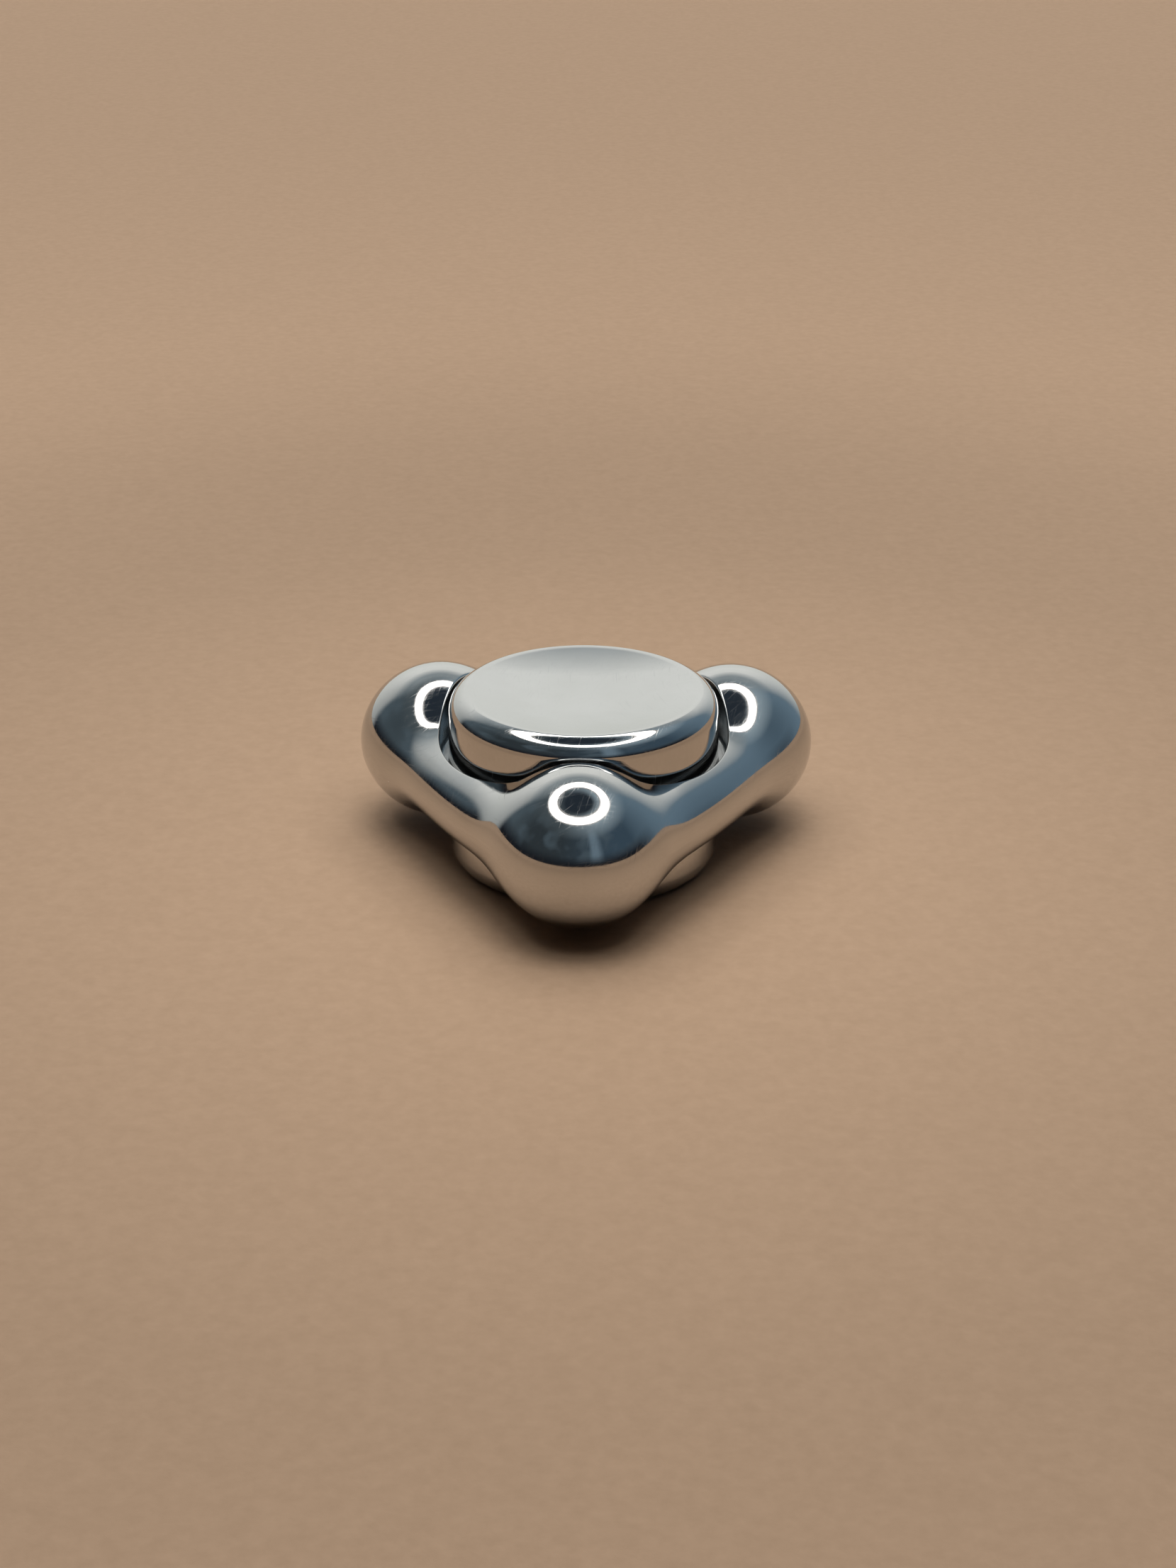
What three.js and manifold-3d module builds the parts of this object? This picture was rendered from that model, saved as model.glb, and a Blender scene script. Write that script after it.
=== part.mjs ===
// A pocket spinner: a polished steel body with three round weights turns on a small
// ball bearing between two dished finger buttons, which screw together through it.
// Millimetres. +Z is the spin axis, and the origin is on that axis at mid-height.
import * as THREE from "three";
import { mergeVertices } from "three/addons/utils/BufferGeometryUtils.js";
import Module from "manifold-3d";

// Body: three near-spheres blended into a three-cornered plate with bowed sides and a full
// round edge, with a well for each button.
const LOBE_COUNT = 3;
const LOBE_CENTRE_RADIUS = 15.45;
const LOBE_RADIUS = 6.9;
const LOBE_HALF_HEIGHT = 7.02;
const PLATE_HALF_HEIGHT = 3.6;
const PLATE_EDGE_RADIUS = 3.52;
const PLATE_CORNER_RADIUS = 6.15;
const PLATE_SIDE_BULGE = 1.3;
const BLEND_WIDTH = 1.25;
const WELL_RADIUS = 12.95;
const WELL_FLOOR_Z = 1.6;
const FIRST_LOBE_AZIMUTH = -Math.PI / 2;

// Bearing housing in the middle of the body: a collar with a lip below and a thread above.
const COLLAR_RADIUS = 8.2;
const COLLAR_TOP_Z = 3.5;
const COLLAR_BOTTOM_Z = -3.2;
const COLLAR_CHAMFER = 0.2;
const LIP_RADIUS = 5.8;
const BORE_RADIUS = 6.37;
const BORE_HALF_LENGTH = 2.4;
const THREAD_RADIUS = 7.2;

// Buttons: dished on top, with a narrow flat rim, a rounded shoulder and an upright side.
const BUTTON_RADIUS = 12.1;
const BUTTON_TOP_Z = 8.15;
const BUTTON_UNDERSIDE_Z = 2;
const BUTTON_CHAMFER = 0.2;
const RIM_OUTER_RADIUS = 10.65;
const RIM_WIDTH = 0.3;
const DISH_DEPTH = 0.9;
const SHOULDER_START_DEG = 73;
const POCKET_RADIUS = 8.6;
const POCKET_CEILING_Z = 3.85;
const SEAT_RADIUS = 4;
const SEAT_Z = 2.68;
const STUD_RADIUS = 1.95;
const STUD_END_Z = -2.65;
const STUD_CHAMFER = 0.25;
const BOSS_RADIUS = 3.14;
const BOSS_END_Z = 2.45;
const SOCKET_RADIUS = 2.05;
const SOCKET_BOTTOM_Z = -3.6;

// Ball bearing, 1/4 inch bore and 1/2 inch outside.
const BEARING_HALF_WIDTH = 2.38;
const BEARING_OUTER_RADIUS = 6.35;
const BEARING_BORE_RADIUS = 3.175;
const INNER_LAND_RADIUS = 4.2;
const OUTER_LAND_RADIUS = 5.32;
const RING_CHAMFER = 0.16;
const BALL_COUNT = 10;
const BALL_RADIUS = 0.794;
const PITCH_RADIUS = 4.7625;
const GROOVE_RADIUS = 0.87;
const SHIELD_RECESS_RADIUS = 5.62;
const SHIELD_SEAT_Z = 1.76;
const SNAP_GROOVE_RADIUS = 5.8;
const SNAP_GROOVE_LOW_Z = 1.95;
const SNAP_GROOVE_HIGH_Z = 2.19;

// Cage, shields, snap rings, spacers and lock ring.
const CAGE_INNER_RADIUS = 4.42;
const CAGE_OUTER_RADIUS = 5.1;
const CAGE_BOTTOM_Z = -1.25;
const CAGE_TOP_Z = 0.45;
const SHIELD_INNER_RADIUS = 4.34;
const SHIELD_OUTER_RADIUS = 5.58;
const SHIELD_LOW_Z = 1.78;
const SHIELD_HIGH_Z = 1.93;
const SNAP_RING_INNER_RADIUS = 5.3;
const SNAP_RING_OUTER_RADIUS = 5.75;
const SNAP_RING_LOW_Z = 1.97;
const SNAP_RING_THICKNESS = 0.2;
const SNAP_RING_GAP_DEG = 24;
const SPACER_INNER_RADIUS = 3.25;
const SPACER_OUTER_RADIUS = 3.95;
const SPACER_LOW_Z = 2.39;
const SPACER_HIGH_Z = 2.67;
const LOCK_RING_INNER_RADIUS = 5.8;
const LOCK_RING_OUTER_RADIUS = 7.15;
const LOCK_RING_LOW_Z = 2.42;
const LOCK_RING_THICKNESS = 1;
const NOTCH_RADIUS = 6.3;
const NOTCH_COUNT = 4;
const NOTCH_WIDTH_DEG = 16;

// Facets round each piece.
const BODY_FACETS = 96;
const BODY_OUTLINE_STEPS = 16;
const BUTTON_FACETS = 40;
const BEARING_FACETS = 30;
const SPACER_FACETS = 20;
const CAGE_FACETS = 60;
const BALL_FACETS = 10;
const BALL_BANDS = 6;

const polishedSteel = { color: 0xc9ccd0, roughness: 0.06, metalness: 1 };
const bearingSteel = { color: 0xb4b8bc, roughness: 0.22, metalness: 1 };
const ballSteel = { color: 0xd4d6d8, roughness: 0.05, metalness: 1 };
const shieldSteel = { color: 0xa7abb0, roughness: 0.35, metalness: 1 };
const springSteel = { color: 0x6d7075, roughness: 0.4, metalness: 1 };
const cageSteel = { color: 0x9a9ea3, roughness: 0.3, metalness: 1 };

const wasm = await Module();
wasm.setup();

const model = new THREE.Group();

function addPiece(name, geometry, finish) {
  const mesh = new THREE.Mesh(geometry, new THREE.MeshStandardMaterial(finish));
  mesh.name = name;
  model.add(mesh);
  return mesh;
}

function toSolid(geometry) {
  const bare = geometry.clone();
  bare.deleteAttribute("normal");
  bare.deleteAttribute("uv");
  const merged = mergeVertices(bare, 1e-4);
  const vertProperties = merged.attributes.position.array;
  const triVerts = new Uint32Array(merged.index.array);
  return new wasm.Manifold(new wasm.Mesh({ numProp: 3, vertProperties, triVerts }));
}

function toGeometry(solid) {
  const mesh = solid.getMesh();
  const geometry = new THREE.BufferGeometry();
  geometry.setAttribute("position", new THREE.BufferAttribute(mesh.vertProperties, 3));
  geometry.setIndex(new THREE.BufferAttribute(mesh.triVerts, 1));
  geometry.computeVertexNormals();
  return geometry;
}

// Points on an arc about (radius, z), in a half-plane through the spin axis.
function arc(centreRadius, centreZ, radius, fromDeg, toDeg, steps) {
  return Array.from({ length: steps + 1 }, (_, i) => {
    const angle = THREE.MathUtils.degToRad(fromDeg + ((toDeg - fromDeg) * i) / steps);
    return [centreRadius + radius * Math.cos(angle), centreZ + radius * Math.sin(angle)];
  });
}

// Turns a profile of [radius, z] points about the spin axis.
function turned(profile, facets) {
  const points = profile.map(([radius, z]) => new THREE.Vector2(radius, z));
  return new THREE.LatheGeometry(points, facets).rotateX(Math.PI / 2);
}

function closed(profile) {
  return [...profile, profile[0]];
}

// The same profile seen from below: z changes sign, and so does the direction round it.
function mirrored(profile) {
  return profile.map(([radius, z]) => [radius, -z]).reverse();
}

function washer(innerRadius, outerRadius, lowZ, highZ, facets) {
  const corners = [
    [innerRadius, lowZ],
    [outerRadius, lowZ],
    [outerRadius, highZ],
    [innerRadius, highZ],
  ];
  return turned(closed(corners), facets);
}

// The lesser of two distances, with the fold between them smoothed away.
function smoothMin(a, b, width) {
  return Math.min(a, b) - width * Math.log1p(Math.exp(-Math.abs(a - b) / width));
}

// Distance in plan to the plate's outline: round corners, joined by long arcs that bow outward
// and run into them without a break. The azimuth is measured from a corner.
function outlineDistance(azimuth, radius) {
  const fromSide = Math.PI / LOBE_COUNT - Math.abs(azimuth);
  const cornerOut = LOBE_CENTRE_RADIUS * Math.cos(Math.PI / LOBE_COUNT);
  const cornerAlong = LOBE_CENTRE_RADIUS * Math.sin(Math.PI / LOBE_COUNT);
  const reach = (PLATE_SIDE_BULGE ** 2 + cornerAlong ** 2) / (2 * PLATE_SIDE_BULGE);
  const arcCentreOut = cornerOut + PLATE_SIDE_BULGE - reach;
  const out = radius * Math.cos(fromSide);
  const along = radius * Math.sin(fromSide);
  const atCorner = along * (cornerOut - arcCentreOut) > cornerAlong * (out - arcCentreOut);
  return atCorner
    ? Math.hypot(out - cornerOut, along - cornerAlong) - PLATE_CORNER_RADIUS
    : Math.hypot(out - arcCentreOut, along) - reach - PLATE_CORNER_RADIUS;
}

function plateDistance(azimuth, radius, z) {
  const past = outlineDistance(azimuth, radius) + PLATE_EDGE_RADIUS;
  const above = Math.abs(z) - (PLATE_HALF_HEIGHT - PLATE_EDGE_RADIUS);
  const outside = Math.hypot(Math.max(past, 0), Math.max(above, 0));
  return outside + Math.min(Math.max(past, above), 0) - PLATE_EDGE_RADIUS;
}

// Distance to the nearest lobe, for an azimuth measured from that lobe's middle.
function lobeDistance(azimuth, radius, z) {
  const along = radius * Math.cos(azimuth) - LOBE_CENTRE_RADIUS;
  const across = radius * Math.sin(azimuth);
  const plan = Math.hypot(along, across);
  const scaled = Math.hypot(plan / LOBE_RADIUS, z / LOBE_HALF_HEIGHT);
  const slope = Math.hypot(plan / LOBE_RADIUS ** 2, z / LOBE_HALF_HEIGHT ** 2);
  return (scaled * (scaled - 1)) / slope;
}

function bodyDistance(azimuth, radius, z) {
  const plate = plateDistance(azimuth, radius, z);
  return smoothMin(plate, lobeDistance(azimuth, radius, z), BLEND_WIDTH);
}

// The skin's point in one half-plane, on a ray from the well's wall at mid-height.
function skinPoint(azimuth, tilt) {
  let near = 0;
  let far = LOBE_CENTRE_RADIUS;
  for (let i = 0; i < 40; i++) {
    const middle = (near + far) / 2;
    const radius = WELL_RADIUS + middle * Math.cos(tilt);
    const inside = bodyDistance(azimuth, radius, middle * Math.sin(tilt)) < 0;
    near = inside ? middle : near;
    far = inside ? far : middle;
  }
  return [WELL_RADIUS + near * Math.cos(tilt), near * Math.sin(tilt)];
}

// The well below, the bearing housing and the well above, from the lower edge to the upper.
function housingProfile() {
  return [
    [WELL_RADIUS, -WELL_FLOOR_Z],
    [COLLAR_RADIUS, -WELL_FLOOR_Z],
    [COLLAR_RADIUS, COLLAR_BOTTOM_Z + COLLAR_CHAMFER],
    [COLLAR_RADIUS - COLLAR_CHAMFER, COLLAR_BOTTOM_Z],
    [LIP_RADIUS, COLLAR_BOTTOM_Z],
    [LIP_RADIUS, -BORE_HALF_LENGTH],
    [BORE_RADIUS, -BORE_HALF_LENGTH],
    [BORE_RADIUS, BORE_HALF_LENGTH],
    [THREAD_RADIUS, BORE_HALF_LENGTH],
    [THREAD_RADIUS, COLLAR_TOP_Z],
    [COLLAR_RADIUS - COLLAR_CHAMFER, COLLAR_TOP_Z],
    [COLLAR_RADIUS, COLLAR_TOP_Z - COLLAR_CHAMFER],
    [COLLAR_RADIUS, WELL_FLOOR_Z],
    [WELL_RADIUS, WELL_FLOOR_Z],
  ];
}

// One closed outline in each half-plane, joined to the next outline all the way round.
function bodyGeometry() {
  const housing = housingProfile();
  const tilts = Array.from(
    { length: BODY_OUTLINE_STEPS + 1 },
    (_, i) => Math.PI / 2 - (Math.PI * i) / BODY_OUTLINE_STEPS,
  );
  const outlineLength = tilts.length + housing.length;
  const facetsPerLobe = BODY_FACETS / LOBE_COUNT;
  const positions = [];
  const faces = [];
  for (let facet = 0; facet < BODY_FACETS; facet++) {
    const azimuth = FIRST_LOBE_AZIMUTH + (2 * Math.PI * facet) / BODY_FACETS;
    const beside = (facet + facetsPerLobe / 2) % facetsPerLobe;
    const fromLobe = (2 * Math.PI * (beside - facetsPerLobe / 2)) / BODY_FACETS;
    const outline = [...tilts.map((tilt) => skinPoint(fromLobe, tilt)), ...housing];
    for (const [radius, z] of outline) {
      positions.push(radius * Math.cos(azimuth), radius * Math.sin(azimuth), z);
    }
    const here = facet * outlineLength;
    const next = ((facet + 1) % BODY_FACETS) * outlineLength;
    for (let i = 0; i < outlineLength; i++) {
      const j = (i + 1) % outlineLength;
      faces.push(here + i, here + j, next + j);
      faces.push(here + i, next + j, next + i);
    }
  }
  const geometry = new THREE.BufferGeometry();
  geometry.setAttribute("position", new THREE.Float32BufferAttribute(positions, 3));
  geometry.setIndex(faces);
  geometry.computeVertexNormals();
  return geometry;
}

// Dish, flat rim, rounded shoulder, side and pocket, from the axis out and back to the seat.
function buttonFace() {
  const rimInner = RIM_OUTER_RADIUS - RIM_WIDTH;
  const dishRadius = (rimInner ** 2 + DISH_DEPTH ** 2) / (2 * DISH_DEPTH);
  const dishReach = THREE.MathUtils.radToDeg(Math.asin(rimInner / dishRadius));
  const dishCentreZ = BUTTON_TOP_Z - DISH_DEPTH + dishRadius;
  const start = THREE.MathUtils.degToRad(SHOULDER_START_DEG);
  const shoulder = (BUTTON_RADIUS - RIM_OUTER_RADIUS) / (1 - Math.cos(start));
  const shoulderCentreZ = BUTTON_TOP_Z - shoulder * Math.sin(start);
  const dish = arc(0, dishCentreZ, dishRadius, -90, -90 + dishReach, 4);
  dish[0][0] = 0;
  return [
    ...dish,
    ...arc(BUTTON_RADIUS - shoulder, shoulderCentreZ, shoulder, SHOULDER_START_DEG, 0, 5),
    [BUTTON_RADIUS, BUTTON_UNDERSIDE_Z + BUTTON_CHAMFER],
    [BUTTON_RADIUS - BUTTON_CHAMFER, BUTTON_UNDERSIDE_Z],
    [POCKET_RADIUS, BUTTON_UNDERSIDE_Z],
    [POCKET_RADIUS, POCKET_CEILING_Z],
    [SEAT_RADIUS, POCKET_CEILING_Z],
    [SEAT_RADIUS, SEAT_Z],
  ];
}

function topButtonGeometry() {
  const stud = [
    [STUD_RADIUS, SEAT_Z],
    [STUD_RADIUS, STUD_END_Z + STUD_CHAMFER],
    [STUD_RADIUS - STUD_CHAMFER, STUD_END_Z],
    [0, STUD_END_Z],
  ];
  return turned([...buttonFace(), ...stud].reverse(), BUTTON_FACETS);
}

function bottomButtonGeometry() {
  const boss = [
    [BOSS_RADIUS, SEAT_Z],
    [BOSS_RADIUS, -BOSS_END_Z],
    [SOCKET_RADIUS, -BOSS_END_Z],
    [SOCKET_RADIUS, -SOCKET_BOTTOM_Z],
    [0, -SOCKET_BOTTOM_Z],
  ];
  return turned(mirrored([...buttonFace(), ...boss]).reverse(), BUTTON_FACETS);
}

function outerRingGeometry() {
  const grooveHalf = THREE.MathUtils.radToDeg(
    Math.acos((OUTER_LAND_RADIUS - PITCH_RADIUS) / GROOVE_RADIUS),
  );
  const upperHalf = [
    [BEARING_OUTER_RADIUS, BEARING_HALF_WIDTH - RING_CHAMFER],
    [BEARING_OUTER_RADIUS - RING_CHAMFER, BEARING_HALF_WIDTH],
    [SHIELD_RECESS_RADIUS, BEARING_HALF_WIDTH],
    [SHIELD_RECESS_RADIUS, SNAP_GROOVE_HIGH_Z],
    [SNAP_GROOVE_RADIUS, SNAP_GROOVE_HIGH_Z],
    [SNAP_GROOVE_RADIUS, SNAP_GROOVE_LOW_Z],
    [SHIELD_RECESS_RADIUS, SNAP_GROOVE_LOW_Z],
    [SHIELD_RECESS_RADIUS, SHIELD_SEAT_Z],
    [OUTER_LAND_RADIUS, SHIELD_SEAT_Z],
  ];
  const groove = arc(PITCH_RADIUS, 0, GROOVE_RADIUS, grooveHalf, -grooveHalf, 4);
  return turned(closed([...upperHalf, ...groove, ...mirrored(upperHalf)]), BEARING_FACETS);
}

function innerRingGeometry() {
  const grooveHalf = THREE.MathUtils.radToDeg(
    Math.acos((PITCH_RADIUS - INNER_LAND_RADIUS) / GROOVE_RADIUS),
  );
  const upperHalf = [
    [INNER_LAND_RADIUS, BEARING_HALF_WIDTH - RING_CHAMFER],
    [INNER_LAND_RADIUS - RING_CHAMFER, BEARING_HALF_WIDTH],
    [BEARING_BORE_RADIUS + RING_CHAMFER, BEARING_HALF_WIDTH],
    [BEARING_BORE_RADIUS, BEARING_HALF_WIDTH - RING_CHAMFER],
  ];
  const groove = arc(
    PITCH_RADIUS,
    0,
    GROOVE_RADIUS,
    180 + grooveHalf,
    180 - grooveHalf,
    4,
  );
  return turned(closed([...upperHalf, ...mirrored(upperHalf), ...groove]), BEARING_FACETS);
}

function ballAzimuth(index) {
  return (2 * Math.PI * (index + 0.5)) / BALL_COUNT;
}

// A crown cage: one ring with a round pocket for each ball, open at the top.
function cageGeometry() {
  let solid = toSolid(
    washer(CAGE_INNER_RADIUS, CAGE_OUTER_RADIUS, CAGE_BOTTOM_Z, CAGE_TOP_Z, CAGE_FACETS),
  );
  for (let index = 0; index < BALL_COUNT; index++) {
    const pocket = new THREE.SphereGeometry(GROOVE_RADIUS, 12, 8).rotateX(Math.PI / 2);
    pocket.rotateZ(ballAzimuth(index));
    pocket.translate(
      PITCH_RADIUS * Math.cos(ballAzimuth(index)),
      PITCH_RADIUS * Math.sin(ballAzimuth(index)),
      0,
    );
    solid = solid.subtract(toSolid(pocket));
  }
  return toGeometry(solid);
}

function addBalls() {
  for (let index = 0; index < BALL_COUNT; index++) {
    const sphere = new THREE.SphereGeometry(BALL_RADIUS, BALL_FACETS, BALL_BANDS);
    const name = `bearing_ball_${String(index + 1).padStart(2, "0")}`;
    const ball = addPiece(name, sphere.rotateX(Math.PI / 2), ballSteel);
    ball.position.set(
      PITCH_RADIUS * Math.cos(ballAzimuth(index)),
      PITCH_RADIUS * Math.sin(ballAzimuth(index)),
      0,
    );
  }
}

function circlePoints(radius, fromDeg, toDeg, steps) {
  return arc(0, 0, radius, fromDeg, toDeg, steps).map(([x, y]) => new THREE.Vector2(x, y));
}

// An open C of flat spring steel, lying on the shield in its groove.
function snapRingGeometry() {
  const half = SNAP_RING_GAP_DEG / 2;
  const outline = new THREE.Shape([
    ...circlePoints(SNAP_RING_OUTER_RADIUS, half, 360 - half, 28),
    ...circlePoints(SNAP_RING_INNER_RADIUS, 360 - half, half, 28),
  ]);
  return new THREE.ExtrudeGeometry(outline, {
    depth: SNAP_RING_THICKNESS,
    bevelEnabled: false,
  });
}

// A threaded ring with spanner notches cut into its inner edge.
function lockRingGeometry() {
  const pitch = 360 / NOTCH_COUNT;
  const outer = circlePoints(LOCK_RING_OUTER_RADIUS, 0, 360, 40).slice(0, -1);
  const inner = [];
  for (let notch = 0; notch < NOTCH_COUNT; notch++) {
    const start = notch * pitch;
    const end = start + NOTCH_WIDTH_DEG;
    inner.push(...circlePoints(NOTCH_RADIUS, start, end, 2));
    inner.push(...circlePoints(LOCK_RING_INNER_RADIUS, end, start + pitch, 7));
  }
  const outline = new THREE.Shape(outer);
  outline.holes.push(new THREE.Path(inner));
  return new THREE.ExtrudeGeometry(outline, {
    depth: LOCK_RING_THICKNESS,
    bevelEnabled: false,
  });
}

function addShieldsAndSpacers() {
  for (const side of ["top", "bottom"]) {
    const place = (low, high) => (side === "top" ? [low, high] : [-high, -low]);
    const [shieldLow, shieldHigh] = place(SHIELD_LOW_Z, SHIELD_HIGH_Z);
    const [snapLow] = place(SNAP_RING_LOW_Z, SNAP_RING_LOW_Z + SNAP_RING_THICKNESS);
    const [spacerLow, spacerHigh] = place(SPACER_LOW_Z, SPACER_HIGH_Z);
    addPiece(
      `bearing_shield_${side}`,
      washer(SHIELD_INNER_RADIUS, SHIELD_OUTER_RADIUS, shieldLow, shieldHigh, BEARING_FACETS),
      shieldSteel,
    );
    addPiece(`shield_snap_ring_${side}`, snapRingGeometry(), springSteel).position.z = snapLow;
    addPiece(
      `bearing_spacer_${side}`,
      washer(SPACER_INNER_RADIUS, SPACER_OUTER_RADIUS, spacerLow, spacerHigh, SPACER_FACETS),
      shieldSteel,
    );
  }
}

addPiece("tri_lobe_body", bodyGeometry(), polishedSteel);
addPiece("top_button", topButtonGeometry(), polishedSteel);
addPiece("bottom_button", bottomButtonGeometry(), polishedSteel);
addPiece("bearing_outer_ring", outerRingGeometry(), bearingSteel);
addPiece("bearing_inner_ring", innerRingGeometry(), bearingSteel);
addPiece("bearing_cage", cageGeometry(), cageSteel);
addBalls();
addShieldsAndSpacers();
addPiece("bearing_lock_ring", lockRingGeometry(), springSteel).position.z = LOCK_RING_LOW_Z;

export default model;
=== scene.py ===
import math

import bmesh
import bpy
import numpy as np
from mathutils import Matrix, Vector


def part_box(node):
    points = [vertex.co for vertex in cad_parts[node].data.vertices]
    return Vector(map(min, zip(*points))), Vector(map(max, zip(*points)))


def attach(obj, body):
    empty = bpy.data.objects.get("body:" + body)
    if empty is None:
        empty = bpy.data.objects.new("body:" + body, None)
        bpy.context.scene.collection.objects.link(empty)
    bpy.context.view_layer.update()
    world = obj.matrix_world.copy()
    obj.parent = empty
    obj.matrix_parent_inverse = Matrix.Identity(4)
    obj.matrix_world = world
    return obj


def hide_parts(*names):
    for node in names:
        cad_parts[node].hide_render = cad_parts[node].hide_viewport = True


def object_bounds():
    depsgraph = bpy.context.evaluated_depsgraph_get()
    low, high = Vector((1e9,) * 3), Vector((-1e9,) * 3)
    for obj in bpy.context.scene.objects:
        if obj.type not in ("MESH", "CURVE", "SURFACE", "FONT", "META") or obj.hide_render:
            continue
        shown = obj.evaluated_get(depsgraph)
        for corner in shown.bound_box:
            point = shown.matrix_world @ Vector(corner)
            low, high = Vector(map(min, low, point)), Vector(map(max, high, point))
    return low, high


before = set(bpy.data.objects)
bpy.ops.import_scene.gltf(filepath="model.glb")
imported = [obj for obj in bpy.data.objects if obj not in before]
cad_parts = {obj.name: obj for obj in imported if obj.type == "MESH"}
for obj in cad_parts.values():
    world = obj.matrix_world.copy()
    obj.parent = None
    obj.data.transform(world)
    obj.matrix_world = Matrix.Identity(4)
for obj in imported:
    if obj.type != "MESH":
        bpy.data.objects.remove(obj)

cad_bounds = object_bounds()

MM = 0.001
TAU = 2 * math.pi


def extent(node):
    """Widest radius, lowest z and highest z of a CAD node at rest, in millimetres."""
    low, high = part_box(node)
    return max(high.x, high.y, -low.y) / MM, low.z / MM, high.z / MM


# Body: three near-spheres blended into a three-cornered plate with bowed sides and a full
# round edge, with a well for each button.
LOBE_COUNT = 3
LOBE_CENTRE_RADIUS = 15.45
LOBE_RADIUS = 6.9
LOBE_HALF_HEIGHT = 7.02
PLATE_HALF_HEIGHT = 3.6
PLATE_EDGE_RADIUS = 3.52
PLATE_CORNER_RADIUS = 6.15
PLATE_SIDE_BULGE = 1.3
BLEND_WIDTH = 1.25
WELL_RADIUS = 12.95
WELL_FLOOR_Z = 1.6
WELL_EDGE_ROUNDING = 0.2
WELL_FILLET = 0.4
FIRST_LOBE_AZIMUTH = -math.pi / 2

# Bearing housing in the middle of the body.
COLLAR_RADIUS = 8.2
COLLAR_TOP_Z = 3.5
COLLAR_BOTTOM_Z = -3.2
COLLAR_FILLET = 0.3
COLLAR_ROUNDING = 0.2
LIP_RADIUS = 5.8
BORE_RADIUS = 6.37
BORE_HALF_LENGTH = 2.4
COLLAR_THREAD_RADIUS = 7.2

# Buttons.
BUTTON_RADIUS, STUD_END_Z, BUTTON_TOP_Z = extent("top_button")
BOSS_END_Z = extent("bottom_button")[2]
BUTTON_UNDERSIDE_Z = 2
RIM_OUTER_RADIUS = 10.65
RIM_WIDTH = 0.3
DISH_DEPTH = 0.9
SHOULDER_START_DEG = 73
POCKET_RADIUS = 8.6
POCKET_CEILING_Z = 3.85
SEAT_RADIUS = 4
SEAT_Z = 2.68
STUD_RADIUS = 1.95
STUD_ROOT_RADIUS = 1.6
BOSS_RADIUS = 3.14
SOCKET_RADIUS = 2.05
SOCKET_BOTTOM_Z = -3.6
STUD_PITCH = 0.7
STUD_THREAD_DEPTH = 0.36
STUD_NECK = 0.6
STUD_CHAMFER = 0.25
SOCKET_LEAD = 0.15
SOCKET_RUN_OUT = 0.4

# Ball bearing.
BEARING_OUTER_RADIUS, _, BEARING_HALF_WIDTH = extent("bearing_outer_ring")
INNER_LAND_RADIUS = extent("bearing_inner_ring")[0]
BEARING_BORE_RADIUS = 3.175
OUTER_LAND_RADIUS = 5.32
BALL_COUNT = 10
BALL_RADIUS = 0.794
PITCH_RADIUS = 4.7625
GROOVE_RADIUS = 0.87
SHIELD_RECESS_RADIUS = 5.62
SHIELD_SEAT_Z = 1.76
SNAP_GROOVE_RADIUS = 5.8
SNAP_GROOVE_LOW_Z = 1.95
SNAP_GROOVE_HIGH_Z = 2.19

# Cage, shields, snap rings, spacers and lock ring.
CAGE_INNER_RADIUS = 4.42
CAGE_OUTER_RADIUS, CAGE_BOTTOM_Z, CAGE_TOP_Z = extent("bearing_cage")
SHIELD_INNER_RADIUS = 4.34
SHIELD_OUTER_RADIUS, SHIELD_LOW_Z, SHIELD_HIGH_Z = extent("bearing_shield_top")
SHIELD_SHEET = 0.1
SNAP_RING_INNER_RADIUS = 5.3
SNAP_RING_OUTER_RADIUS = 5.75
SNAP_RING_GAP_DEG = 24
SPACER_INNER_RADIUS = 3.25
SPACER_OUTER_RADIUS, SPACER_LOW_Z, SPACER_HIGH_Z = extent("bearing_spacer_top")
LOCK_RING_INNER_RADIUS = 5.8
LOCK_RING_OUTER_RADIUS, LOCK_RING_LOW_Z, LOCK_RING_HIGH_Z = extent("bearing_lock_ring")
LOCK_RING_BEVEL = 0.06
LOCK_PITCH = 0.5
LOCK_THREAD_DEPTH = 0.2
NOTCH_RADIUS = 6.3
NOTCH_COUNT = 4
NOTCH_WIDTH_DEG = 16

# Columns of points round each piece.
BODY_COLUMNS = 384
BUTTON_COLUMNS = 256
BEARING_COLUMNS = 192
SKIN_ROWS = 112

# Camera, in millimetres and degrees.
CAMERA_DISTANCE = 270
CAMERA_ELEVATION = 24.1
CAMERA_AZIMUTH = -88.6
CAMERA_LENS = 68.7
SENSOR_LONG_SIDE = 36
AIM_RIGHT = 0.39
AIM_UP = -1.03

# Studio, in millimetres: a ring lamp with a haze round it, and a round floor with a backdrop.
LAMP_HEIGHT = 180
LAMP_INNER_RADIUS = 78
LAMP_OUTER_RADIUS = 115
LAMP_Y = -10
LAMP_STRENGTH = 4
HAZE_INNER_RADIUS = 71
HAZE_OUTER_RADIUS = 122
HAZE_STRENGTH = 0.45
ROOM_STRENGTH = 1.22
WALL_TURN = math.radians(6)
STUDIO_RADIUS = 2400
WALL_HEIGHT = 1400
COVE_RADIUS = 600

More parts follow.
